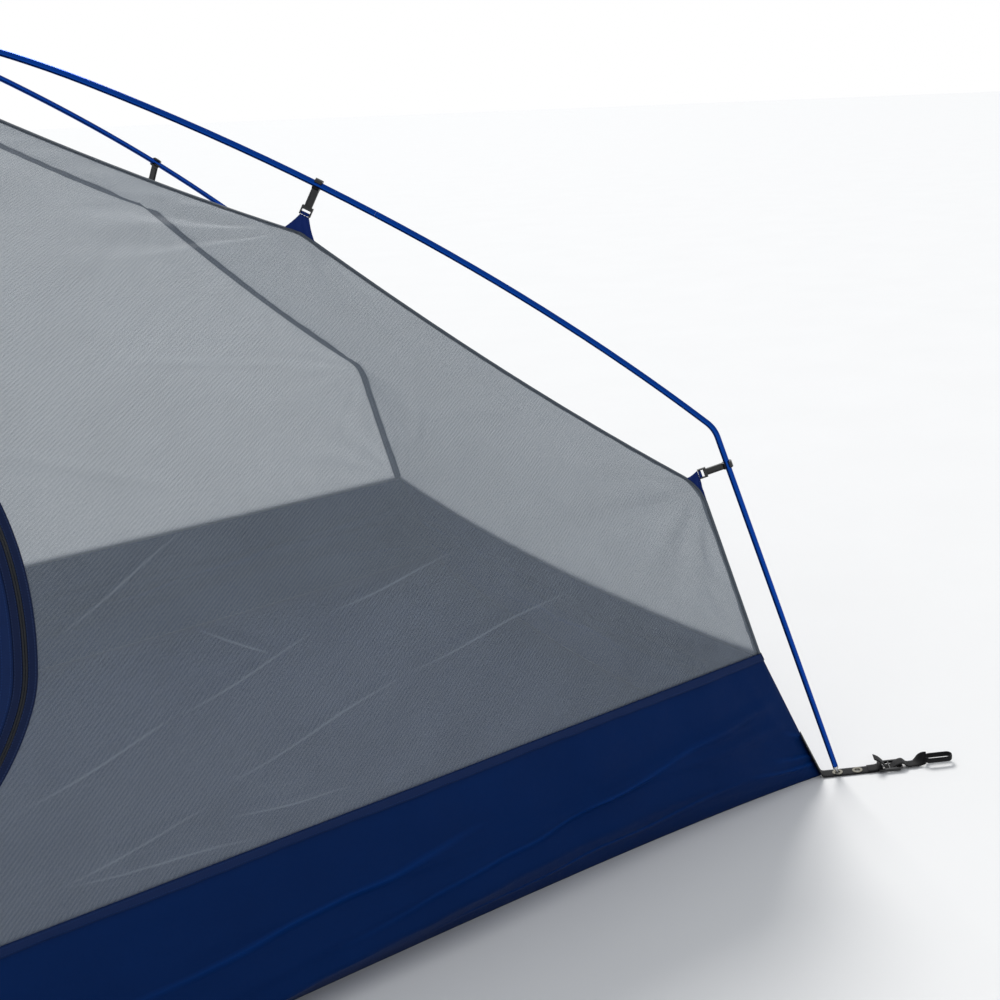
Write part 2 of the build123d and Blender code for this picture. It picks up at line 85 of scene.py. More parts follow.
# creases pressed into each panel: ends (x across, y up the seam), height and width, in metres
CREASES = {
    "front": [((0.10, 0.14), (0.26, 0.19), 0.005, 0.008), ((0.26, 0.19), (0.42, 0.24), 0.005, 0.008),
              ((0.11, 0.04), (0.27, 0.07), 0.004, 0.008), ((0.30, 0.29), (0.37, 0.23), 0.004, 0.008),
              ((0.17, 0.33), (0.32, 0.43), 0.004, 0.009), ((0.28, 0.05), (0.42, 0.03), 0.004, 0.008),
              ((0.11, 0.04), (0.31, 0.01), 0.004, 0.008), ((0.29, 0.09), (0.51, 0.15), 0.005, 0.009),
              ((0.51, 0.15), (0.75, 0.19), 0.005, 0.009), ((0.44, 0.26), (0.61, 0.29), 0.004, 0.009),
              ((-0.55, 0.10), (-0.86, 0.24), 0.004, 0.010), ((-0.60, 0.32), (-0.84, 0.26), 0.004, 0.010)],
    "back": [((0.55, 0.12), (0.95, 0.30), 0.004, 0.016), ((-0.6, 0.08), (-0.2, 0.30), 0.004, 0.018),
             ((0.1, 0.2), (0.5, 0.5), -0.004, 0.020), ((-0.9, 0.3), (-0.5, 0.45), 0.004, 0.016)],
    "right": [((-0.40, 0.06), (0.1, 0.28), 0.005, 0.016), ((0.5, 0.1), (0.2, 0.34), 0.004, 0.016),
              ((-0.3, 0.42), (0.15, 0.30), 0.004, 0.018)],
    "left": [((0.40, 0.06), (-0.1, 0.30), 0.005, 0.016), ((-0.5, 0.1), (-0.2, 0.36), 0.004, 0.016)],
}
# creases pressed into the bathtub's walls as a bump, each also painted lighter as a painted highlight: ends,
# along the wall and up it from the floor, in metres
WALL_CREASE_BUMPS_AND_HIGHLIGHTS = [
    ((1.19, 0.012), (0.98, 0.060)), ((0.98, 0.060), (0.46, 0.028)), ((0.99, 0.145), (0.36, 0.080)),
    ((1.19, 0.025), (1.07, 0.105)), ((1.19, 0.020), (1.03, 0.070)), ((1.18, 0.045), (1.12, 0.150)),
    ((0.60, 0.150), (0.10, 0.110)), ((-1.19, 0.012), (-0.90, 0.070)), ((-0.95, 0.140), (-0.30, 0.085)),
    ((-1.19, 0.025), (-1.06, 0.110)), ((-0.20, 0.060), (0.30, 0.040)),
]


# ---- materials
class Net:
    """A material's node tree, with short calls for the nodes used here."""

    def __init__(self, name):
        self.mat = bpy.data.materials.new(name)
        self.mat.use_nodes = True
        self.tree = self.mat.node_tree
        self.bsdf = self.tree.nodes["Principled BSDF"]
        self.out = self.tree.nodes["Material Output"]

    def put(self, socket, value):
        """Link a socket to another's output, or set its value."""
        if hasattr(value, "is_output"):
            self.tree.links.new(value, socket)
        else:
            socket.default_value = value

    def node(self, kind, **values):
        n = self.tree.nodes.new(kind)
        for key, value in values.items():
            if key in n.inputs:
                self.put(n.inputs[key], value)
            else:
                setattr(n, key, value)
        return n

    def math(self, op, a, b=0.0, clamp=False):
        n = self.node("ShaderNodeMath", operation=op, use_clamp=clamp)
        self.put(n.inputs[0], a)
        self.put(n.inputs[1], b)
        return n.outputs[0]

    def uv(self):
        return self.node("ShaderNodeUVMap", uv_map="flat").outputs[0]

    def tiled(self, wide, high=None, turn=0.0):
        """The cloth's flat map in units of a tile of that size in metres, turned by so many degrees."""
        scale = (1 / wide, 1 / (high or wide), 1)
        rotation = (0, 0, math.radians(turn))
        return self.node("ShaderNodeMapping", Vector=self.uv(), Scale=scale, Rotation=rotation).outputs[0]

    def noise(self, scale, detail=3.0, rough=0.55):
        where = self.node("ShaderNodeTexCoord").outputs["Object"]
        n = self.node("ShaderNodeTexNoise", Vector=where, Scale=scale, Detail=detail, Roughness=rough)
        return n.outputs["Fac"]

    def bands(self, vector, axis):
        """Sine bands, one to each unit of the vector."""
        n = self.node("ShaderNodeTexWave", bands_direction=axis, Vector=vector, Scale=0.314159)
        return n.outputs["Fac"]

    def mix(self, fac, a, b):
        n = self.node("ShaderNodeMix", data_type="RGBA")
        for i, v in ((0, fac), (6, a), (7, b)):
            self.put(n.inputs[i], (*v, 1) if isinstance(v, tuple) else v)
        return n.outputs[2]

    def bump(self, height, distance, strength=1.0, **normal):
        n = self.node("ShaderNodeBump", Strength=strength, Distance=distance, Height=height, **normal)
        return n.outputs[0]

    def finish(self, color, **values):
        self.put(self.bsdf.inputs["Base Color"], color)
        for key, value in values.items():
            self.put(self.bsdf.inputs[key.replace("_", " ")], value)
        return self.mat

    def blend(self, fac, other):
        """Put another shader over the principled one, by fac."""
        mixer = self.node("ShaderNodeMixShader")
        for i, v in enumerate((fac, self.bsdf.outputs[0], other.outputs[0])):
            self.put(mixer.inputs[i], v)
        self.put(self.out.inputs["Surface"], mixer.outputs[0])


def weave(net, pitch):
    """Plain weave: threads over and under at the given pitch, in metres."""
    v = net.tiled(pitch)
    return net.math("MULTIPLY", net.math("ADD", net.bands(v, "X"), net.bands(v, "Y")), 0.5)


def shade(rgb, k):
    return tuple(min(1, c * k) for c in rgb)


def cloth(name, rgb, rough=0.5, ripstop=0.0, pitch=0.0005, sheen=0.0, spec=0.15, vary=0.16, lines=(),
          through=0.0):
    """Woven cloth: ripstop is its grid's size, lines its creases, each bumped and given a painted highlight,
    through the share of light let through.
    """
    net = Net(name)
    base = lin(*rgb)
    light = shade(base, 1 + vary)
    color = net.mix(net.noise(9.0, 4.0), shade(base, 1 - vary), light)
    fine = weave(net, pitch)
    color = net.mix(net.math("MULTIPLY", fine, 0.25), color, shade(base, 0.75))
    height = fine
    if ripstop:
        g = net.tiled(ripstop)
        thick = [net.math("GREATER_THAN", net.bands(g, axis), 0.985) for axis in "XY"]
        grid = net.math("MAXIMUM", *thick)
        color = net.mix(net.math("MULTIPLY", grid, 0.16), color, light)
        height = net.math("ADD", fine, net.math("MULTIPLY", grid, 0.8))
    normal = net.bump(net.noise(38.0, 5.0, 0.6), 0.004, 0.35)
    if lines:
        # each crease gets a painted highlight, the colour up to 2.4 times lighter along it, and a bump for
        # its relief
        crease_bump_and_highlight = pressed(net, lines, 0.006)
        color = net.mix(net.math("MULTIPLY", crease_bump_and_highlight, 0.5), color, shade(base, 2.4))
        normal = net.bump(crease_bump_and_highlight, 0.004, 0.8, Normal=normal)
    normal = net.bump(height, 0.00012, 0.6, Normal=normal)
    if through:
        net.blend(through, net.node("ShaderNodeBsdfTranslucent", Color=color))
    return net.finish(color, Normal=normal, Roughness=rough, Sheen_Weight=sheen, Sheen_Roughness=0.4,
                      Specular_IOR_Level=spec)


def pressed(net, lines, wide=0.0022):
    """1 along each crease, fading out to its sides and ends."""
    total = None
    flat = net.uv()
    for (ax, ay), (bx, by), *_ in lines:
        length, turn = math.hypot(bx - ax, by - ay), math.atan2(by - ay, bx - ax)
        shift = net.node("ShaderNodeVectorMath", operation="SUBTRACT")
        net.put(shift.inputs[0], flat)
        net.put(shift.inputs[1], (ax, ay, 0))
        spin = net.node("ShaderNodeVectorRotate", rotation_type="Z_AXIS", Vector=shift.outputs[0])
        spin.inputs["Angle"].default_value = -turn
        sep = net.node("ShaderNodeSeparateXYZ", Vector=spin.outputs[0])
        bend = net.math("MULTIPLY", net.math("SINE", net.math("MULTIPLY", sep.outputs["X"], 31)), 0.0022)
        off = net.math("ABSOLUTE", net.math("ADD", sep.outputs["Y"], bend))
        side = net.math("SUBTRACT", 1.0, net.math("DIVIDE", off, wide), clamp=True)
        span = net.math("SUBTRACT", net.math("MULTIPLY", sep.outputs["X"], 2 / length), 1.0)
        ends = net.math("SUBTRACT", 1.0, net.math("MULTIPLY", span, span), clamp=True)
        line = net.math("MULTIPLY", side, ends)
        total = line if total is None else net.math("MAXIMUM", total, line)
    return total


def open_mesh(name, rgb, cover):
    """Knitted net: round holes in a diagonal grid, the threads thicker in ribs and along the creases."""
    net = Net(name)
    base = lin(*rgb)
    cell = net.node("ShaderNodeTexVoronoi", voronoi_dimensions="2D", Vector=net.tiled(0.00095, turn=45),
                    Scale=1.0, Randomness=0.0)
    open_to = math.sqrt((1 - cover) / math.pi)
    rib = net.bands(net.tiled(0.0042, turn=45), "X")
    swing = net.math("MULTIPLY", net.math("SUBTRACT", rib, 0.5), open_to * 0.16)
    size = net.math("ADD", swing, open_to)
    size = net.math("SUBTRACT", size, net.math("MULTIPLY", pressed(net, CREASES["front"]), open_to * 0.4))
    hole = net.math("LESS_THAN", cell.outputs["Distance"], size)
    color = net.mix(net.noise(14.0, 4.0), shade(base, 0.88), shade(base, 1.12))
    normal = net.bump(net.math("SUBTRACT", 1.0, cell.outputs["Distance"]), 0.0002, 0.5)
    net.blend(hole, net.node("ShaderNodeBsdfTransparent"))
    return net.finish(color, Normal=normal, Roughness=0.6, Sheen_Weight=0.12, Sheen_Roughness=0.5,
                      Specular_IOR_Level=0.3)


def webbing(name, rgb, rough=0.7, rows=0.0, width=0.02, thread=(0, 0, 0), sheen=0.06, fluff=0.01):
    """Tape of diagonal ribs, with two lines of stitches that far in from its edges where rows is set."""
    net = Net(name)
    base = lin(*rgb)
    rib = net.bands(net.tiled(0.0012, turn=38), "X")
    height = net.math("MULTIPLY", net.math("ADD", rib, net.bands(net.tiled(0.0018), "Y")), 0.5)
    color = net.mix(net.math("MULTIPLY", height, 0.6), shade(base, 0.62), shade(base, 1.25))
    fuzz = net.math("MULTIPLY", net.noise(120.0), 0.2)
    color = net.mix(fuzz, color, tuple(min(1, c * 1.5 + fluff) for c in base))
    normal = net.bump(height, 0.00025, 0.8)
    if rows:
        sep = net.node("ShaderNodeSeparateXYZ", Vector=net.uv())
        off = net.math("SUBTRACT", net.math("ABSOLUTE", sep.outputs["X"]), width / 2 - rows)
        line = net.math("LESS_THAN", net.math("ABSOLUTE", off), 0.00045)
        step = net.math("FRACT", net.math("MULTIPLY", sep.outputs["Y"], 1 / 0.0032))
        stitch = net.math("MULTIPLY", line, net.math("LESS_THAN", step, 0.68))
        color = net.mix(stitch, color, lin(*thread))
        normal = net.bump(stitch, 0.0005, 0.9, Normal=normal)
    return net.finish(color, Normal=normal, Roughness=rough, Sheen_Weight=sheen, Sheen_Roughness=0.5,
                      Specular_IOR_Level=0.2)


def anodised(name, rgb):
    net = Net(name)
    base = lin(*rgb)
    color = net.mix(net.noise(12.0), shade(base, 0.85), shade(base, 1.15))
    scuff = net.math("GREATER_THAN", net.noise(420.0, 4.0, 0.7), 0.72)
    color = net.mix(net.math("MULTIPLY", scuff, 0.35), color, lin(150, 175, 215))
    normal = net.bump(net.noise(260.0, 2.0), 0.00004, 0.5)
    return net.finish(color, Normal=normal, Metallic=1.0, Roughness=0.2, Coat_Weight=1.0, Coat_Roughness=0.08,
                      Coat_IOR=1.12, Coat_Tint=(0.35, 0.50, 0.75, 1))


def metal(name, rgb, rough=0.32):
    net = Net(name)
    base = lin(*rgb)
    color = net.mix(net.noise(90.0, 4.0), shade(base, 0.78), base)
    normal = net.bump(net.noise(900.0, 2.0), 0.00003, 0.6)
    return net.finish(color, Normal=normal, Metallic=1.0, Roughness=rough)


def moulded(name, rgb, rough=0.42):
    net = Net(name)
    base = lin(*rgb)
    wear = net.math("MULTIPLY", net.noise(60.0, 5.0, 0.65), 0.5)
    color = net.mix(wear, base, tuple(c * 1.9 + 0.004 for c in base))
    normal = net.bump(net.noise(1400.0, 2.0), 0.00005, 0.7)
    return net.finish(color, Normal=normal, Roughness=rough, Specular_IOR_Level=0.5, Coat_Weight=0.08,
                      Coat_Roughness=0.3)


def zip_coil(name):
    net = Net(name)
    base = lin(22, 26, 34)
    tooth_bump_and_painted_light = net.bands(net.tiled(1, 0.0013), "Y")
    # painted highlight on each tooth's crest and painted shade in the gaps between teeth, 0.4 to 1.8 times
    # the coil's colour; the same bands make the bump
    color = net.mix(tooth_bump_and_painted_light, shade(base, 0.4), shade(base, 1.8))
    return net.finish(color, Normal=net.bump(tooth_bump_and_painted_light, 0.0006), Roughness=0.38, Specular_IOR_Level=0.5)


M = {
    "mesh": open_mesh("mesh_net", (128, 137, 148), 0.58),
    "canopy": cloth("canopy_ripstop", (226, 228, 229), 0.65, 0.006, 0.0004, 0.05, 0.2, 0.04, through=0.82),
    "floor": cloth("floor_taffeta", (12, 38, 84), sheen=0.05, spec=0.3),
    "wall": cloth("wall_taffeta", (0, 35, 86), spec=0.07, lines=WALL_CREASE_BUMPS_AND_HIGHLIGHTS),
    "door": cloth("door_ripstop", (4, 36, 92), ripstop=0.006, pitch=0.0004),
    "tab": cloth("tab_cloth", (4, 36, 104)),
    "patch": cloth("patch_cloth", (4, 36, 96)),
    "binding": webbing("binding_tape", (0, 34, 84), 0.6, 0.0022, 0.012, (14, 46, 98), 0.0, 0.0),
    "tape": webbing("ridge_tape_weave", (84, 92, 102), 0.7, 0.0022, 0.017, (118, 126, 134), 0.05),
    "web": webbing("black_webbing", (19, 19, 21), 0.7, 0.0025, 0.020, (46, 46, 50)),
    "strap": webbing("black_strap", (20, 20, 22)),
    "zip_tape": webbing("zip_tape", (4, 26, 66), 0.7, 0.002, 0.010, (30, 48, 88), 0.03),
    "coil": zip_coil("zip_coil_teeth"),
    "pole": anodised("pole_blue_anodised", (12, 88, 172)),
    "ferrule": metal("ferrule_alloy", (205, 207, 212)),
    "tip": metal("tip_alloy", (212, 214, 218), 0.25),
    "pin": metal("pin_steel_brushed", (175, 177, 182), 0.3),
    "eyelet": metal("eyelet_nickel", (150, 146, 134), 0.28),
    "zip_metal": metal("zip_black_metal", (48, 50, 54), 0.36),
    "clip": moulded("clip_nylon", (15, 15, 17)),
    "buckle": moulded("buckle_acetal", (15, 15, 17), 0.36),
    "cord": webbing("shock_cord_braid", (225, 225, 228)),
}


def paint(node, key):
    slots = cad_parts[node].data.materials
    if not slots:
        slots.append(M[key])
    for i in range(len(slots)):
        slots[i] = M[key]


# ---- mesh helpers
def add(name, data):
    obj = bpy.data.objects.new(name, data)
    bpy.context.scene.collection.objects.link(obj)
    return obj


def make(name, verts, faces, uvs, key, body, thick=0.0, replace=(), slot=None):
    """A piece that rides on a body, with its cloth's flat coordinates, in metres, as its UV map."""
    mesh = bpy.data.meshes.new(name)
    mesh.from_pydata([tuple(v) for v in verts], [], faces)
    layer = mesh.uv_layers.new(name="flat")
    for loop in mesh.loops:
        layer.data[loop.index].uv = uvs[loop.vertex_index]
    obj = add(name, mesh)
    mesh.materials.append(M[key])
    if thick:
        mod = obj.modifiers.new("thick", "SOLIDIFY")
        mod.thickness = thick
        mod.offset = -1.0
        apply_all(obj)
    for p in obj.data.polygons:
        p.use_smooth = True
    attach(obj, body)
    if replace:
        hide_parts(*replace)
    return obj


def apply_all(obj):
    graph = bpy.context.evaluated_depsgraph_get()
    mesh = bpy.data.meshes.new_from_object(obj.evaluated_get(graph))
    obj.modifiers.clear()
    obj.data = mesh


def strap_mesh(points, sides, width, thick, crown=0.0, closed=False, flare=1.0):
    """A flat strap along points, its width along sides; crown domes it and flare widens its end."""
    def corner(x, way):
        edge = 0.55 if abs(x) == 1 else 1.0
        return x * width / 2, way * thick / 2 * edge + crown * (1 - x * x)

    spots = (-1, -0.5, 0, 0.5, 1)
    section = [corner(x, 1) for x in spots] + [corner(x, -1) for x in reversed(spots)]
    verts, uvs, faces = [], [], []
    run = 0.0
    n, m = len(points), len(section)
    for i, p in enumerate(points):
        a = points[(i - 1) % n if closed else max(i - 1, 0)]
        b = points[(i + 1) % n if closed else min(i + 1, n - 1)]
        tangent = (b - a).normalized()
        side = (sides[i] - tangent * sides[i].dot(tangent)).normalized()
        up = side.cross(tangent)
        if i:
            run += (p - points[i - 1]).length
        grow = 1 + (flare - 1) * max(0.0, (i / (n - 1) - 0.6) / 0.4)
        for x, z in section:
            verts.append(p + side * x * grow + up * z)
            uvs.append((x, run))
    for i in range(n if closed else n - 1):
        here, there = i * m, (i + 1) % n * m
        for j in range(m):
            k = (j + 1) % m
            faces.append((here + j, here + k, there + k, there + j))
    if not closed:
        faces += [tuple(range(m))[::-1], tuple(range((n - 1) * m, n * m))]
    return verts, faces, uvs


def grid_faces(across, up, base=0):
    """The squares of a grid of vertices that is so many squares across and up."""
    starts = [base + j * (across + 1) + i for j in range(up) for i in range(across)]
    return [(a, a + 1, a + across + 2, a + across + 1) for a in starts]


def grid(across, up, spot):
    """A grid of squares; spot gives the point and the flat coordinates at each (i, j)."""
    spots = [spot(i, j) for j in range(up + 1) for i in range(across + 1)]
    return [p for p, _ in spots], grid_faces(across, up), [uv for _, uv in spots]


def merge(parts):
    verts, faces, uvs = [], [], []
    for v, f, u in parts:
        base = len(verts)
        verts += v
        uvs += u
        faces += [tuple(base + i for i in face) for face in f]
    return verts, faces, uvs


def spun(v, angle):
    return Matrix.Rotation(angle, 3, "Z") @ Vector(v)


def rounded(pairs, step):
    """A path through (x, z) pairs, resampled evenly, with its corners rounded."""
    points = [Vector((x, 0, z)) for x, z in pairs]
    out = [points[0]]
    for a, b in zip(points, points[1:]):
        n = max(1, int((b - a).length / step))
        out += [a.lerp(b, (i + 1) / n) for i in range(n)]
    for _ in range(2):
        inner = [(a + b * 2 + c) / 4 for a, b, c in zip(out, out[1:], out[2:])]
        out = [out[0]] + inner + [out[-1]]
    return out


# ---- canopy surface
def bezier(a, b, c, t):
    u = 1 - t
    return (u * u * a[0] + 2 * u * t * b[0] + t * t * c[0], u * u * a[1] + 2 * u * t * b[1] + t * t * c[1])


def even(points, count):
    """Points at equal steps along a path, and the path's length."""
    total = [0.0]
    for a, b in zip(points, points[1:]):
        total.append(total[-1] + math.hypot(b[0] - a[0], b[1] - a[1]))
    out, j = [], 0
    for i in range(count):
        want = total[-1] * i / (count - 1)
        while j < len(points) - 2 and total[j + 1] < want:
            j += 1
        f = (want - total[j]) / (total[j + 1] - total[j])
        a, b = points[j], points[j + 1]
        out.append((a[0] + f * (b[0] - a[0]), a[1] + f * (b[1] - a[1])))
    return out, total[-1]


RAW = [TOE]
HALFWAY = ((TOE[0] + BELOW[0]) / 2, (TOE[1] + BELOW[1]) / 2)
for a, b, c in ((TOE, HALFWAY, BELOW), (BELOW, ELBOW, ABOVE), (ABOVE, SAG_LOW, MID), (MID, SAG_HIGH, TOP),
                (TOP, SAG_CROWN, CROWN)):
    RAW += [bezier(a, b, c, (i + 1) / 40) for i in range(40)]
ROWS = 241
RIDGE, RIDGE_LEN = even(RAW, ROWS)
# the middle of a panel hangs on this line, the ridge with its corners eased out
SLACK = [list(p) for p in RIDGE]
for _ in range(900):
    inner = [[(a[k] + b[k]) / 2 for k in (0, 1)] for a, b in zip(SLACK, SLACK[2:])]
    SLACK = [SLACK[0]] + inner + [SLACK[-1]]
CANOPY_TOP = 1 - 0.012 / RIDGE_LEN


def at(profile, s):
    x = min(max(s, 0.0), 1.0) * (ROWS - 1)
    i = min(int(x), ROWS - 2)
    f = x - i
    return (profile[i][0] * (1 - f) + profile[i + 1][0] * f, profile[i][1] * (1 - f) + profile[i + 1][1] * f)


def row_of(z_wanted):
    return min(range(ROWS), key=lambda i: abs(RIDGE[i][1] - z_wanted)) / (ROWS - 1)


S_ELBOW, S_MID, S_TOP = row_of(ELBOW[1]), row_of(MID[1]), row_of(TOP[1])


def fan(dx, dy, count, reach, amp, phase):
    """Folds that fan out from a pulled point and die away."""
    d = math.hypot(dx, dy)
    if d < 1e-6 or d > reach:
        return 0.0
    swell = (d / reach) * (1 - d / reach) ** 1.5 * 4.0
    return amp * swell * math.sin(count * math.atan2(dy, dx) + phase)


def crease(x, y, a, b, amp, wide):
    """A soft ridge along the line from a to b."""
    ax, ay, bx, by = *a, *b
    lx, ly = bx - ax, by - ay
    size = math.hypot(lx, ly)
    t = ((x - ax) * lx + (y - ay) * ly) / size / size
    if t < -0.05 or t > 1.05:
        return 0.0
    off = ((x - ax) * ly - (y - ay) * lx) / size
    taper = max(0.0, math.sin(math.pi * min(max(t, 0.0), 1.0))) ** 0.6
    return amp * taper * math.exp(-(off / wide) ** 2)


# each side's turn from the front, and where its waves of folds begin
TURN = {"front": 0.0, "right": math.pi / 2, "back": math.pi, "left": -math.pi / 2}
SEED = {"front": 3.1, "right": 17.7, "back": 31.3, "left": 47.9}


def shares(side):
    return (SX, SY) if side in LONG_SIDES else (SY, SX)


def foot_sag(side, u):
    """How far the seam between wall and canopy is drawn in, and how far it dips, u from -1 to 1 along it."""
    return 0.006 * (1 - u * u), (0.004 if side in LONG_SIDES else 0.024) * (1 - u * u)


def bare(side, x, s):
    """The canopy over one side without its folds: x across, s up the ridge from 0 to 1."""
    across, deep = shares(side)
    r, z = at(RIDGE, s)
    rm, zm = at(SLACK, s)
    u = min(1.0, abs(x) / max(r * across, 1e-6))
    w = (1 - u * u) ** 1.3
    draw, dive = foot_sag(side, u)
    near = math.exp(-s * RIDGE_LEN / 0.16)
    return Vector((x, -(r + (rm - r) * w) * deep + draw * near, z + (zm - z) * w - dive * near))


def surface(side, x, s):
    """The canopy over one side with its folds, and its outward normal."""
    across = shares(side)[0]
    e = 0.004
    dx = bare(side, x + e, s) - bare(side, x - e, s)
    ds = bare(side, x, min(1, s + e)) - bare(side, x, max(0, s - e))
    n = dx.cross(ds)
    n = n.normalized() if n.length > 1e-9 else Vector((0, -0.4, 0.9))
    y = s * RIDGE_LEN
    half = at(RIDGE, s)[0] * across
    edge = min(half - abs(x), y, (1 - s) * RIDGE_LEN)
    hold = min(1.0, max(0.0, edge) / 0.035)
    seed = SEED[side]
    out = 0.0
    # folds from where the clips and the corner pull
    pulls = ((S_MID, 0.0036, 0.30, 15), (S_ELBOW, 0.0035, 0.30, 13), (S_TOP, 0.0025, 0.18, 11))
    for sign in (-1, 1):
        for sc, amp, reach, count in pulls:
            cx = sign * at(RIDGE, sc)[0] * across
            out += fan(x - cx, y - sc * RIDGE_LEN, count, reach, amp, seed + sign)
        out += fan(x - sign * TOE[0] * across, y, 17, 0.30, 0.003, seed * 2 + sign)
    # puckers along the sewn edges
    out += 0.0016 * math.sin(x * 125 + 2.2 * math.sin(x * 17 + seed)) * math.exp(-y / 0.035)
    out += 0.0016 * math.sin(y * 140 + 2.0 * math.sin(y * 23 + seed)) * math.exp(-(half - abs(x)) / 0.035)
    for a, b, amp, wide in CREASES[side]:
        out += crease(x, y, a, b, amp * 1.3, wide)
    out += 0.0035 * noise.noise(Vector((x * 5.5, y * 5.5, seed)))
    out += 0.0012 * noise.noise(Vector((x * 21, y * 21, seed + 9)))
    return bare(side, x, s) + n * out * hold, n


def place(side, p):
    return spun(p, TURN[side])


TUCK = Vector((0, 0.0012, -0.005))


def panel(side):
    across = shares(side)[0]
    nu, nv = 260 if side == "back" else 190, 150

    def spot(i, j):
        s = CANOPY_TOP * j / nv
        x = (at(RIDGE, s)[0] * across - 0.0006) * (-1 + 2 * i / nu)
        p = surface(side, x, s)[0]
        # the lowest row is tucked behind the bathtub's binding
        return place(side, p if j else p + TUCK), (x, s * RIDGE_LEN)

    obj = make(f"canopy_{side}_cloth", *grid(nu, nv, spot), "canopy", "tent", CLOTH,
               (f"canopy_{side}_panel",), "canopy_cloth")
    wide, high, area = flat_size(side)


def flat_size(side):
    """A panel's width, height and area, laid flat."""
    across, deep = shares(side)
    area, length = 0.0, 0.0
    for a, b in zip(RIDGE, RIDGE[1:]):
        dy = math.hypot((b[0] - a[0]) * deep, b[1] - a[1])
        length += dy
        area += (a[0] + b[0]) * across * dy
    return 2 * TOE[0] * across, length, area


# ---- door outline on the front panel
LEAN = math.atan2((TOE[0] - BELOW[0]) * SY, BELOW[1] - TOE[1])


def v_of(s):
    """How far up the leaning front panel the ridge is at s."""
    r, z = at(RIDGE, s)
    return -(r - TOE[0]) * SY * math.sin(LEAN) + (z - TOE[1]) * math.cos(LEAN)


V_ROWS = [v_of(i / (ROWS - 1)) for i in range(ROWS)]


def s_of(v):
    for i in range(ROWS - 1):
        if V_ROWS[i + 1] >= v:
            f = (v - V_ROWS[i]) / (V_ROWS[i + 1] - V_ROWS[i])
            return (i + max(0.0, f)) / (ROWS - 1)
    return 1.0


def door_line(grow, whole=True):
    """The door's outline as (x, s), anticlockwise from bottom left; without whole, its zipped part."""
    step = 0.006
    low, left, radius = DOOR_FOOT - grow, DOOR_LEFT - grow, DOOR_R + grow
    right_x = DOOR_X + math.sqrt(radius ** 2 - (DOOR_V - low) ** 2)
    top_v = DOOR_V + math.sqrt(radius ** 2 - (left - DOOR_X) ** 2)
    a0 = math.atan2(low - DOOR_V, right_x - DOOR_X)
    a1 = math.atan2(top_v - DOOR_V, left - DOOR_X)
    n = int((right_x - left) / step)
    pts = [(left + (right_x - left) * i / n, low) for i in range(n)]
    n = int(radius * (a1 - a0) / step)
    turns = [a0 + (a1 - a0) * i / n for i in range(n + 1)]
    pts += [(DOOR_X + radius * math.cos(a), DOOR_V + radius * math.sin(a)) for a in turns]
    if whole:
        n = int((top_v - low) / step)
        pts += [(left, top_v + (low - top_v) * i / n) for i in range(1, n)]
    return [(x, s_of(v)) for x, v in pts]


def cuts_at(y, loop):
    """Where a level line at y crosses a closed outline."""
    pairs = zip(loop, loop[1:] + loop[:1])
    return [x1 + (y - y1) * (x2 - x1) / (y2 - y1) for (x1, y1), (x2, y2) in pairs if (y1 > y) != (y2 > y)]


def cut_panel(outer, holes, spacing):
    """Triangles that fill the outline, less its holes; outlines are lists of (x, y)."""
    loops = [outer] + holes
    coords, edges = [], []
    cells = {}
    for loop in loops:
        base = len(coords)
        coords += [Vector(p) for p in loop]
        edges += [(base + i, base + (i + 1) % len(loop)) for i in range(len(loop))]
        for x, y in loop:
            cells.setdefault((int(x // spacing), int(y // spacing)), []).append((x, y))
    # a triangular grid of points inside, none of them close to an outline's own
    low, high = min(p[1] for p in outer), max(p[1] for p in outer)
    row_step = spacing * 0.866
    for j in range(int((high - low) / row_step) + 1):
        y = low + j * row_step + 1e-5
        cuts = sorted(x for loop in loops for x in cuts_at(y, loop))
        for a, b in zip(cuts[::2], cuts[1::2]):
            for i in range(math.ceil(a / spacing), int(b / spacing) + 1):
                x = (i + 0.5 * (j % 2)) * spacing
                if not a < x < b:
                    continue
                cx, cy = int(x // spacing), int(y // spacing)
                around = [(cx + dx, cy + dy) for dx in (-1, 0, 1) for dy in (-1, 0, 1)]
                near = [q for cell in around for q in cells.get(cell, ())]
                if all(math.hypot(q[0] - x, q[1] - y) > spacing * 0.5 for q in near):
                    coords.append(Vector((x, y)))
    verts, _, tris, *_ = delaunay_2d_cdt(coords, edges, [], 1, 1e-7)

    def inside(x, y, loop):
        return sum(x < cut for cut in cuts_at(y, loop)) % 2 == 1

    keep = []
    for t in tris:
        cx = sum(verts[i].x for i in t) / 3
        cy = sum(verts[i].y for i in t) / 3
        if inside(cx, cy, outer) and not any(inside(cx, cy, h) for h in holes):
            keep.append(tuple(t))
    return verts, keep


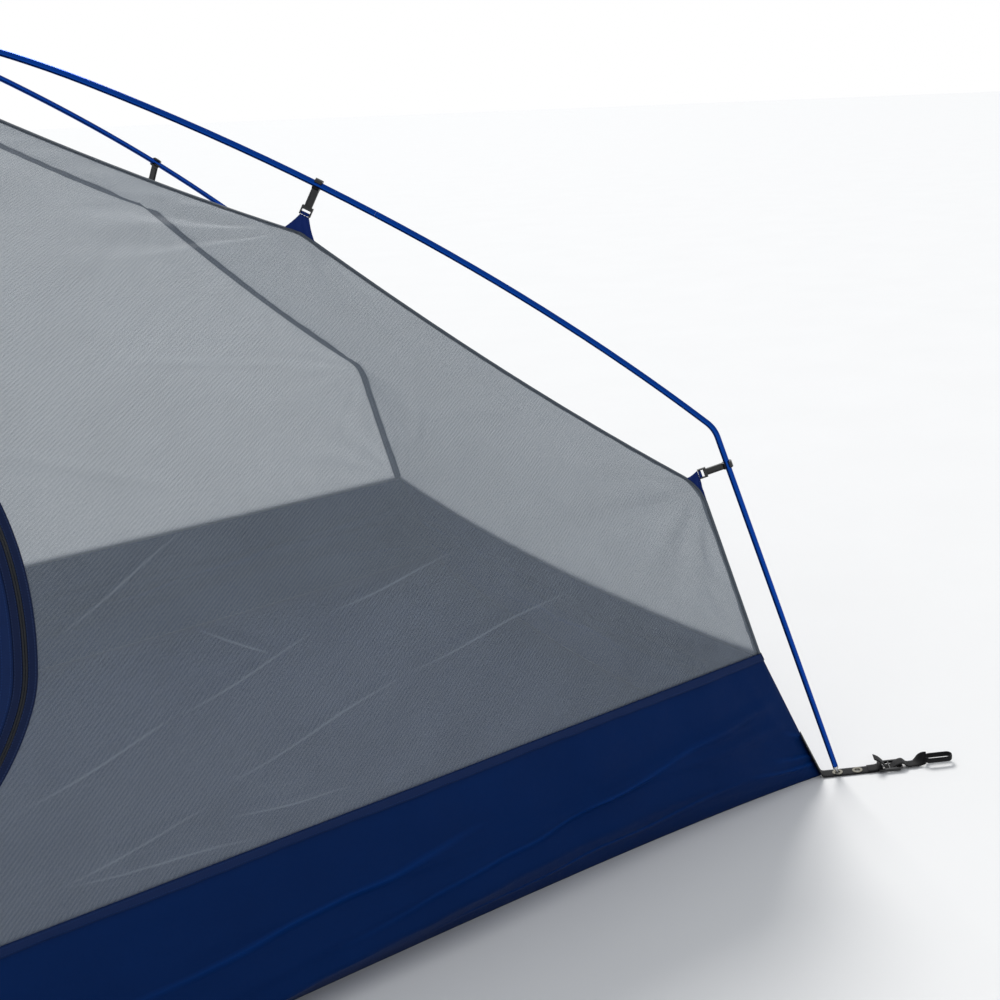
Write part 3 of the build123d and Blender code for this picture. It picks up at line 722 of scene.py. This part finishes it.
def front_cloth():
    steps = int(RIDGE_LEN / 0.008)
    levels = [CANOPY_TOP * i / steps for i in range(steps + 1)]
    right = [(at(RIDGE, s)[0] * SX - 0.0006, s * RIDGE_LEN) for s in levels]
    foot = right[0][0]
    n = int(2 * foot / 0.008)
    bottom = [(-foot + 2 * foot * i / n, 0.0) for i in range(1, n)]
    outer = [(-foot, 0.0)] + bottom + right + [(-x, y) for x, y in reversed(right[1:])]
    hole = [(x, s * RIDGE_LEN) for x, s in door_line(DOOR_GAP)]
    leaf = [(x, s * RIDGE_LEN) for x, s in door_line(-DOOR_GAP)]
    for name, loop, holes, key, body, thick, node, slot, rests in (
            ("front_mesh_net", outer, [hole], "mesh", "tent", 0.0, "canopy_front_mesh", "mesh",
             ["ridge_tapes", "bathtub_top_binding"]),
            ("door_cloth_panel", leaf, [], "door", "door", CLOTH, "door_panel", "door_cloth",
             ["zip_tape_door"])):
        flat, tris = cut_panel(loop, holes, 0.009)
        verts = [surface("front", p.x, p.y / RIDGE_LEN)[0] + (TUCK if p.y < 1e-6 else Vector()) for p in flat]
        obj = make(name, verts, tris, [(p.x, p.y) for p in flat], key, body, thick, (node,), slot)
        area = sum(abs((flat[b] - flat[a]).cross(flat[c] - flat[a])) / 2 for a, b, c in tris)
        wide, high = (max(line) - min(line) for line in zip(*flat))
        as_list(rests)


def along_door(grow, out):
    """Points along the zip, out from the cloth, and at each the way across it."""
    pts, normals = [], []
    for x, s in door_line(grow, whole=False):
        p, n = surface("front", x, s)
        pts.append(p + n * out)
        normals.append(n)
    ways = []
    for i, n in enumerate(normals):
        t = (pts[min(i + 1, len(pts) - 1)] - pts[max(i - 1, 0)]).normalized()
        ways.append(t.cross(n).normalized())
    return pts, ways


# ---- bathtub
FOOT_LIFT = 0.0008


def drawn_in(d):
    """How far the floor's edge is pulled in, at d along it from the nearest corner."""
    return 0.042 * (1 - math.exp(-d / 0.28))


def foot_of(side):
    """A wall's half length and distance from the middle at the ground, and how many squares go along it."""
    return (HALF_L, HALF_W, 300) if side in LONG_SIDES else (HALF_W, HALF_L, 190)


def wall_point(side, x, v):
    """x across at the foot, v from 0 at the ground to 1 at the binding."""
    across, deep = shares(side)
    foot_half, foot_deep, _ = foot_of(side)
    top_half, top_deep = TOE[0] * across, TOE[0] * deep
    u = x / foot_half
    d = max(0.0, (1 - abs(u)) * foot_half)
    half = foot_half + (top_half - foot_half) * v
    pulled, dip = foot_sag(side, u)
    # the cloth bulges down to a fold, and under it runs back in to the floor's edge
    fold_v = 0.03 + 0.27 * (d / 0.32) * math.exp(1 - d / 0.32)
    under = max(0.0, 1 - v / fold_v)
    over = (1 - v) / (1 - fold_v) if v > fold_v else 1.0
    y = foot_deep + (top_deep - foot_deep) * v - pulled
    near = min(1.0, d / 0.12)
    y += 0.012 * over ** 1.4 * near - (drawn_in(d) + 0.012 * near) * under
    z = FOOT_LIFT + (WALL_H - FOOT_LIFT) * v - dip * v
    seed = SEED[side] + 5
    patchy = 0.4 + 0.6 * noise.noise(Vector((x * 3, seed, 0)))
    out = 0.0030 * math.sin(x * 31 + 3 * math.sin(x * 7 + seed)) * math.sin(math.pi * v) * patchy
    out += 0.0016 * math.sin(x * 120 + 2 * math.sin(x * 13 + seed)) * math.exp(-(1 - v) / 0.10)
    out += 0.0060 * noise.noise(Vector((x * 5, v * 1.7, seed)))
    out += 0.0035 * noise.noise(Vector((x * 15, v * 4.5, seed + 4)))
    # long creases that run away from the corner, and short ones that fan out from it
    for start, end, high, wide in ((0.66, 0.30, 0.0090, 0.040), (0.46, 0.62, 0.0060, 0.035)):
        line = start + (end - start) * min(1.0, d / 0.9)
        out += high * math.exp(-((v - line) / wide) ** 2) * min(1.0, d / 0.08) * math.exp(-(d / 0.9) ** 2)
    away = math.hypot(d, v * WALL_H)
    turn = math.atan2(v * WALL_H, d + 0.004)
    wander = 1.5 * noise.noise(Vector((d * 9, v * 3, seed)))
    out += 0.0055 * (1 - abs(math.sin(turn * 9 + seed + wander))) ** 2 * math.exp(-away / 0.16)
    hold = min(1.0, d / 0.03) * min(1.0, max(0.0, v - fold_v * 0.4) / 0.10) * min(1.0, (1 - v) / 0.12)
    return Vector((u * half, -(y + out * hold), z))


def wall(side):
    foot_half, _, nu = foot_of(side)
    nv = 36

    def spot(i, j):
        x = foot_half * (-1 + 2 * i / nu)
        return place(side, wall_point(side, x, (j / nv) ** 1.15)), (x, j / nv * WALL_H * 1.03)

    obj = make(f"bathtub_wall_{side}_cloth", *grid(nu, nv, spot), "wall", "tent", CLOTH,
               (f"bathtub_wall_{side}",), "wall_cloth")


def floor_cloth():
    nu, nv = 220, 140

    def spot(i, j):
        u, v = -1 + 2 * i / nu, -1 + 2 * j / nv
        x = u * (HALF_L - 0.0004 - drawn_in((1 - abs(v)) * HALF_W) - 0.006 * (1 - v * v))
        y = v * (HALF_W - 0.0004 - drawn_in((1 - abs(u)) * HALF_L) - 0.006 * (1 - u * u))
        ripple = 0.0016 * noise.noise(Vector((x * 17, y * 17, 7.0)))
        rise = 0.0025 + 0.0022 * noise.noise(Vector((x * 6, y * 6, 2.2))) + ripple
        edge = min(1 - abs(u), 1 - abs(v))
        return Vector((x, y, 0.0009 + max(0.0, rise) * min(1, edge * 14))), (x, y)

    obj = make("bathtub_floor_cloth", *grid(nu, nv, spot), "floor", "tent", CLOTH, ("bathtub_floor",),
               "floor_cloth")


# ---- tapes
def ribbon(tapes, across, step, thick, name, key, replace, slot):
    """Tapes laid on the cloth, joined into one piece: each a list of rows of points across it."""
    verts, uvs, faces = [], [], []
    for tape in tapes:
        faces += grid_faces(len(across) - 1, len(tape) - 1, len(verts))
        for i, row in enumerate(tape):
            verts += row
            uvs += [(x, i * step) for x in across]
    make(name, verts, faces, uvs, key, "tent", thick, replace, slot)


def laid(side, x, s, lift):
    p, n = surface(side, x, s)
    return place(side, p + n * lift)


def ridge_tape(lift, name, replace):
    """Tape over the four seams, or under them; it turns over the net's edge only a little."""
    wing, n = 0.0115, 260
    stop = 1 - 0.053 / RIDGE_LEN

    def half(side, way, s):
        """The tape on one side of a seam, from its own edge in."""
        wide = wing * (0.4 if side == "front" else 1)
        seam = at(RIDGE, s)[0] * shares(side)[0]
        return [laid(side, way * (seam - d), s, lift) for d in (wide, wide * 0.66, wide * 0.33, 0.0008)]

    levels = [stop * i / n for i in range(n + 1)]
    seams = (("front", "right"), ("right", "back"), ("back", "left"), ("left", "front"))
    tapes = [[half(one, 1, s) + half(two, -1, s)[::-1] for s in levels] for one, two in seams]
    spots = [wing, wing * 0.66, wing * 0.33, 0.0005]
    ribbon(tapes, [-d for d in spots] + spots[::-1], stop * RIDGE_LEN / n, 0.0005, name, "tape", replace,
           "ridge_tape")


def binding():
    off = Vector((0, -0.0014, 0.0003))
    tapes = []
    for side in SIDES:
        foot_half, _, n = foot_of(side)
        xs = [foot_half * (-1 + 2 * i / n) * 0.9994 for i in range(n + 1)]
        rows = (0.945, 0.963, 0.982, 1.0)
        tapes.append([[place(side, wall_point(side, x, v) + off) for v in rows] for x in xs])
    ribbon(tapes, [-0.006, -0.002, 0.002, 0.006], 2 * HALF_L / 300, CLOTH, "bathtub_binding_tape", "binding",
           ("bathtub_top_binding",), "binding")


TEETH = 0.0022


def zips():
    """Each half's tape and teeth, one half on the tent and one on the door, and the door's two edge tapes."""
    for name, grow, out, wide, thick, key, body, replace in (
            ("zip_tape_frame", 0.0062, 0.0005, 0.010, CLOTH, "zip_tape", "tent", ()),
            ("zip_tape_door", -0.0062, 0.0005, 0.010, CLOTH, "zip_tape", "door", ()),
            ("zip_teeth_frame", 0.00112, 0.0010, TEETH, 0.0016, "coil", "tent", ("zip_coil_frame",)),
            ("zip_teeth_door", -0.00112, 0.0010, TEETH, 0.0016, "coil", "door", ("zip_coil_door",))):
        make(name, *strap_mesh(*along_door(grow, out), wide, thick), key, body, 0, replace, "zip_coil")
    edge = strap_mesh(*along_door(-0.0165, 0.0012), 0.012, 0.0008, 0.0008)
    make("door_edge_binding", *edge, "binding", "door", 0, (), "door_cloth")
    hinge = [surface("front", x, s) for x, s in door_line(0.0) if abs(x - DOOR_LEFT) < 0.001]
    # the seam's tape lies inside, behind both cloths, so the door turns out from it
    pts = [p - n * 0.0013 for p, n in hinge]
    seam = strap_mesh(pts, [Vector((1, 0, 0))] * len(pts), 0.018, 0.0007)
    make("door_hinge_tape", *seam, "binding", "tent", 0, (), "binding")


# ---- poles and clips
def pole_state(s, lift):
    """Distance from the middle, height and downward heading of a pole's line, s along it from the crown."""
    r, z, heading = 0.0, POLE_TOP + lift, 0.0
    for radius, start, stop in POLE_BENDS:
        a0, a1 = math.radians(start), math.radians(stop)
        step = min(s, radius * (a1 - a0))
        if step <= 0:
            break
        heading = a0 + step / radius
        r += radius * (math.sin(heading) - math.sin(a0))
        z -= radius * (math.cos(a0) - math.cos(heading))
        s -= step
    return r + s * math.cos(heading), z - s * math.sin(heading), heading


def arm_at(r_wanted, lift):
    """How far along the pole it is that far from the middle."""
    low, step = 0.0, 0.65
    while step > 1e-15:
        if pole_state(low + step, lift)[0] < r_wanted:
            low += step
        step /= 2
    return low


def clip_tab(spot, s_seam, reach, lift, angle):
    """A tab's two plies of cloth, from the seam to a clip's bar, and the loop of tape round the bar."""
    r, z, heading = pole_state(spot, lift)
    along = Vector((math.cos(heading), -math.sin(heading)))
    inward = Vector((-math.sin(heading), -math.cos(heading)))
    bar = Vector((r, z)) + inward * BAR_DROP
    nu, nv = 12, 16
    foot = Vector(at(RIDGE, s_seam))
    spots = []
    for j in range(nv + 1):
        f = j / nv
        narrow = 1 - 0.06 * math.sin(math.pi * f) if j < nv else 1.0
        centre = foot.lerp(bar + inward * 0.0026, f)
        for i in range(nu + 1):
            u = -1 + 2 * i / nu
            base = Vector(at(RIDGE, s_seam - u * reach / RIDGE_LEN))
            head = bar + along * (u * 0.0052) + inward * 0.0026
            spots.append((centre + (base.lerp(head, f) - centre) * narrow, u, f))
    plies = []
    for sign in (-1, 1):
        verts, uvs = [], []
        for p, u, f in spots:
            puff = 0.0006 + 0.0012 * math.sin(math.pi * f) * (1 - u * u)
            verts.append(spun((p.x, sign * puff + 0.0006 * math.sin(9 * u + 5 * f), p.y), angle))
            uvs.append((u * 0.012, f * 0.03))
        faces = grid_faces(nu, nv)
        plies.append((verts, faces if sign < 0 else [tuple(reversed(q)) for q in faces], uvs))
    loop = []
    for i in range(20):
        a = -math.pi - 0.35 + (2 * math.pi + 0.7) * i / 20
        c = bar - inward * (math.sin(a) * LOOP_WRAP)
        loop.append(spun((c.x, math.cos(a) * LOOP_WRAP, c.y), angle))
    sides = [spun((along.x, 0, along.y), angle)] * len(loop)
    return plies, strap_mesh(loop, sides, 0.0102, 0.0007)


def clip_tabs():
    cloth, loops = [], []
    for name, angle in CORNERS.items():
        lift = LIFT[name]
        for spot, s_seam, reach in ((CLIP_SPOTS["elbow"], S_ELBOW, 0.023),
                                    (arm_at(CLIP_SPOTS["mid"], lift), S_MID, 0.020),
                                    (arm_at(CLIP_SPOTS["top"], lift), S_TOP, 0.015)):
            plies, loop = clip_tab(spot, s_seam, reach, lift, angle)
            cloth += plies
            loops.append(loop)
    make("clip_tab_cloth", *merge(cloth), "tab", "tent", 0.0005, ("clip_tabs",), "tab_cloth")
    make("clip_tab_loops", *merge(loops), "tab", "tent", 0, (), "tab_cloth")


# ---- corner webbing
def foot_radius(lift):
    """How far from the middle a pole's line comes down to the webbing."""
    r, z, heading = pole_state(POLE_FOOT, lift)
    return r + (z - WEB_MID) / math.tan(heading)


def corner_straps():
    """The webbing from each corner, up the wall's edge and out to a loop, with holes for its two eyelets."""
    parts = []
    lean = (DIAG - TOE[0]) / WALL_H
    top = 0.074
    start = (DIAG + 0.0004 - lean * top, top)
    path = rounded([start, (DIAG + 0.0012, 0.0019), (LOOP_R - 0.006, 0.0015)], 0.003)
    for i in range(1, 13):
        a = -math.pi / 2 + 0.25 + (math.pi * 1.55) * i / 12
        path.append(Vector((LOOP_R + math.cos(a) * 0.0030, 0, LOOP_Z + math.sin(a) * 0.0030)))
    back = rounded([(LOOP_R - 0.0035, 0.0045), (LOOP_R - 0.008, 0.0034), (LOOP_R - 0.020, 0.0033)], 0.002)
    for angle in CORNERS.values():
        for line, wide, thick in ((path, WEB_W, 0.0016), (back, WEB_W - 0.0004, 0.0014)):
            sides = [spun((0, 1, 0), angle)] * len(line)
            parts.append(strap_mesh([spun(p, angle) for p in line], sides, wide, thick))
    obj = make("corner_webbing_straps", *merge(parts), "web", "tent", 0, ("corner_webbing",), "webbing")
    cutters = []
    for name, angle in CORNERS.items():
        for extra in (0.0, EYELET_STEP):
            centre = spun((foot_radius(LIFT[name]) + extra, 0, WEB_MID), angle)
            bpy.ops.mesh.primitive_cylinder_add(vertices=40, radius=0.0049, depth=0.012, location=centre)
            cutters.append(bpy.context.object)
    for cutter in cutters:
        mod = obj.modifiers.new("hole", "BOOLEAN")
        mod.operation = "DIFFERENCE"
        mod.solver = "EXACT"
        mod.object = cutter
    bpy.context.view_layer.update()
    apply_all(obj)
    for cutter in cutters:
        bpy.data.objects.remove(cutter)


def stake_loop(centre):
    """A closed loop of strap with two straight sides and round ends."""
    count, long, wide = 56, 0.0134, 0.0082
    ring = []
    for i in range(count):
        a = 2 * math.pi * i / count
        x = math.cos(a)
        shift = 0.0 if abs(x) <= 0.02 else math.copysign(long, x)
        ring.append(centre + Vector((shift + x * wide * 0.95, math.sin(a) * wide, 0.0)))
    return [ring[i] * 0.5 + (ring[i - 1] + ring[(i + 1) % count]) * 0.25 for i in range(count)]


def tension_straps():
    """The strap through each buckle: free tail, the buckle's bars, a quarter twist, then the stake loop."""
    mid, front = LOOP_R + 0.014, LOOP_R + 0.027
    spots = [(mid - 0.024, 0.022), (mid - 0.017, 0.0185), (mid - 0.008, 0.0095), (mid - 0.0055, 0.0018),
             (mid + 0.004, 0.0015), (front - 0.0034, 0.0079), (front + 0.001, 0.0098),
             (front + 0.0085, 0.0108), (front + 0.015, 0.0030), (front + 0.026, 0.0038)]
    path = rounded(spots, 0.0025)
    sides = [Vector((0, 1, 0))] * len(path)
    start = path[-1]
    end = Vector((front + 0.046, 0, 0.0098))
    for i in range(1, 15):
        f = i / 14
        quarter = f * math.pi / 2
        point = start.lerp(end, f)
        point.z = max(point.z, 0.0012 + 0.0103 * math.sin(quarter))
        path.append(point)
        sides.append(Vector((0, math.cos(quarter), math.sin(quarter))))
    ring = stake_loop(Vector((front + 0.065, 0, 0.0098)))
    for name, angle in CORNERS.items():
        ways = [spun(v, angle) for v in sides]
        strap = strap_mesh([spun(p, angle) for p in path], ways, 0.018, 0.0014, flare=1.12)
        upright = [Vector((0, 0, 1))] * len(ring)
        loop = strap_mesh([spun(p, angle) for p in ring], upright, 0.008, 0.0018, closed=True)
        make(f"tension_strap_{name}_web", *merge([strap, loop]), "strap", f"tension_{name}", 0,
             (f"tension_strap_{name}",), "webbing")


# ---- crown
def crown():
    n, rings = 96, 14
    turns = [2 * math.pi * i / n for i in range(n)]
    verts, uvs, faces = [], [], []
    for j in range(rings + 1):
        rad = PATCH_HOLE + (PATCH_R - PATCH_HOLE) * j / rings
        for a in turns:
            x, y = rad * math.cos(a), rad * math.sin(a)
            z = PATCH_Z - PATCH_FALL * rad + 0.0004 * math.sin(a * 8) * (j / rings) ** 2
            verts.append(Vector((x, y, z)))
            uvs.append((x, y))
    for j in range(rings):
        for i in range(n):
            k = (i + 1) % n
            faces.append((j * n + i, (j + 1) * n + i, (j + 1) * n + k, j * n + k))
    make("crown_patch_cloth", verts, faces, uvs, "patch", "tent", 0.0008, ("crown_patch",), "tab_cloth")
    hem_z = PATCH_Z - PATCH_FALL * PATCH_HEM + 0.0004
    rim = [Vector((PATCH_HEM * math.cos(a), PATCH_HEM * math.sin(a), hem_z)) for a in turns]
    outward = [Vector((p.x, p.y, -0.007)).normalized() for p in rim]
    hem = strap_mesh(rim, outward, 0.006, CLOTH, closed=True)
    make("crown_patch_hem", *hem, "binding", "tent", 0, (), "tab_cloth")
    # the tab: up from the patch, round the crown clip's pin and down again
    foot, bend, neck = (0.0065, 1.1024), (0.0012, 1.1036), (0.0012, PIN_Z - 0.004)
    up = rounded([(-x, z) for x, z in (foot, bend, neck)], 0.0015)
    down = rounded((neck, bend, foot), 0.0015)
    over = []
    for i in range(1, 16):
        a = math.pi + 0.6 - (math.pi + 1.2) * i / 15
        over.append(Vector((math.cos(a) * 0.0021, 0, PIN_Z + math.sin(a) * 0.0021)))
    pts = [spun(p, -ANGLE) for p in up + over + down]
    tab = strap_mesh(pts, [spun((0, 1, 0), -ANGLE)] * len(pts), 0.0084, 0.0009)
    make("crown_tab_web", *tab, "strap", "tent", 0, ("crown_tab",), "tab_cloth")


# ---- camera and light
# the photograph's camera, fitted to the floor's corner, the seams and the poles
EYE = Vector((-0.0084, -2.0305, 1.0214))
YAW, PITCH, ROLL = math.radians(39.66), math.radians(-18.50), math.radians(-2.26)
FILM, FOCAL = 36.0, 1.2818
SUN_WAY = Vector((-0.20, -0.66, -0.72))


def camera():
    fwd = Vector((math.sin(YAW) * math.cos(PITCH), math.cos(YAW) * math.cos(PITCH), math.sin(PITCH)))
    right = Vector((math.cos(YAW), -math.sin(YAW), 0))
    up = right.cross(fwd)
    right, up = right * math.cos(ROLL) + up * math.sin(ROLL), up * math.cos(ROLL) - right * math.sin(ROLL)
    cam = bpy.data.cameras.new("camera")
    cam.sensor_width = FILM
    cam.lens = FOCAL * FILM
    cam.shift_x, cam.shift_y = -0.3119, 0.0049
    cam.clip_start, cam.clip_end = 0.05, 60
    obj = add("camera", cam)
    obj.matrix_world = Matrix.Translation(EYE) @ Matrix((right, up, -fwd)).transposed().to_4x4()
    bpy.context.scene.camera = obj


def light():
    """A pale world that the camera sees as white, and one wide soft sun from behind the tent."""
    world = bpy.data.worlds.new("world")
    bpy.context.scene.world = world
    world.use_nodes = True
    nodes, links = world.node_tree.nodes, world.node_tree.links
    soft, seen = nodes["Background"], nodes.new("ShaderNodeBackground")
    soft.inputs[0].default_value = (0.93, 0.96, 1.0, 1)
    soft.inputs[1].default_value = 0.66
    seen.inputs[0].default_value = (1.0, 1.0, 1.0, 1)
    path = nodes.new("ShaderNodeLightPath")
    mixer = nodes.new("ShaderNodeMixShader")
    for i, output in enumerate((path.outputs["Is Camera Ray"], soft.outputs[0], seen.outputs[0])):
        links.new(output, mixer.inputs[i])
    links.new(mixer.outputs[0], nodes["World Output"].inputs["Surface"])
    sun = bpy.data.lights.new("key", "SUN")
    sun.energy, sun.angle, sun.color = 2.3, math.radians(22), (1.0, 0.985, 0.96)
    key = add("key", sun)
    key.rotation_euler = SUN_WAY.to_track_quat("-Z", "Y").to_euler()
    bpy.context.scene.view_settings.view_transform = "Standard"


def ground():
    bpy.ops.mesh.primitive_plane_add(size=400, location=(0, 0, -0.0002))
    plane = bpy.context.object
    plane.name = "ground"
    net = Net("ground_paper")
    net.finish(net.mix(net.noise(3.0), (0.80, 0.80, 0.80), (0.83, 0.83, 0.83)), Roughness=0.9)
    plane.data.materials.append(net.mat)


def cad_finishes():
    """Materials for the CAD parts that stay as they are."""
    looks = {"_ferrules": "ferrule", "_shock_cord": "cord", "_tips": "tip", "pole_a_": "pole",
             "pole_b_": "pole", "tension_buckle": "buckle", "zip_slider": "zip_metal",
             "zip_pull": "zip_metal", "_clip": "clip", "crown_pin": "pin", "corner_eyelets": "eyelet"}
    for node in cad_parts:
        key = next((look for part, look in looks.items() if part in node), None)
        if key:
            paint(node, key)


camera()
light()
ground()
cad_finishes()
front_cloth()
for side_name in SIDES[1:]:
    panel(side_name)
for side_name in SIDES:
    wall(side_name)
floor_cloth()
ridge_tape(0.0012, "ridge_tape_strips", ("ridge_tapes",))
ridge_tape(-0.0014, "seam_tape_inside", ())
binding()
zips()
clip_tabs()
corner_straps()
tension_straps()
crown()
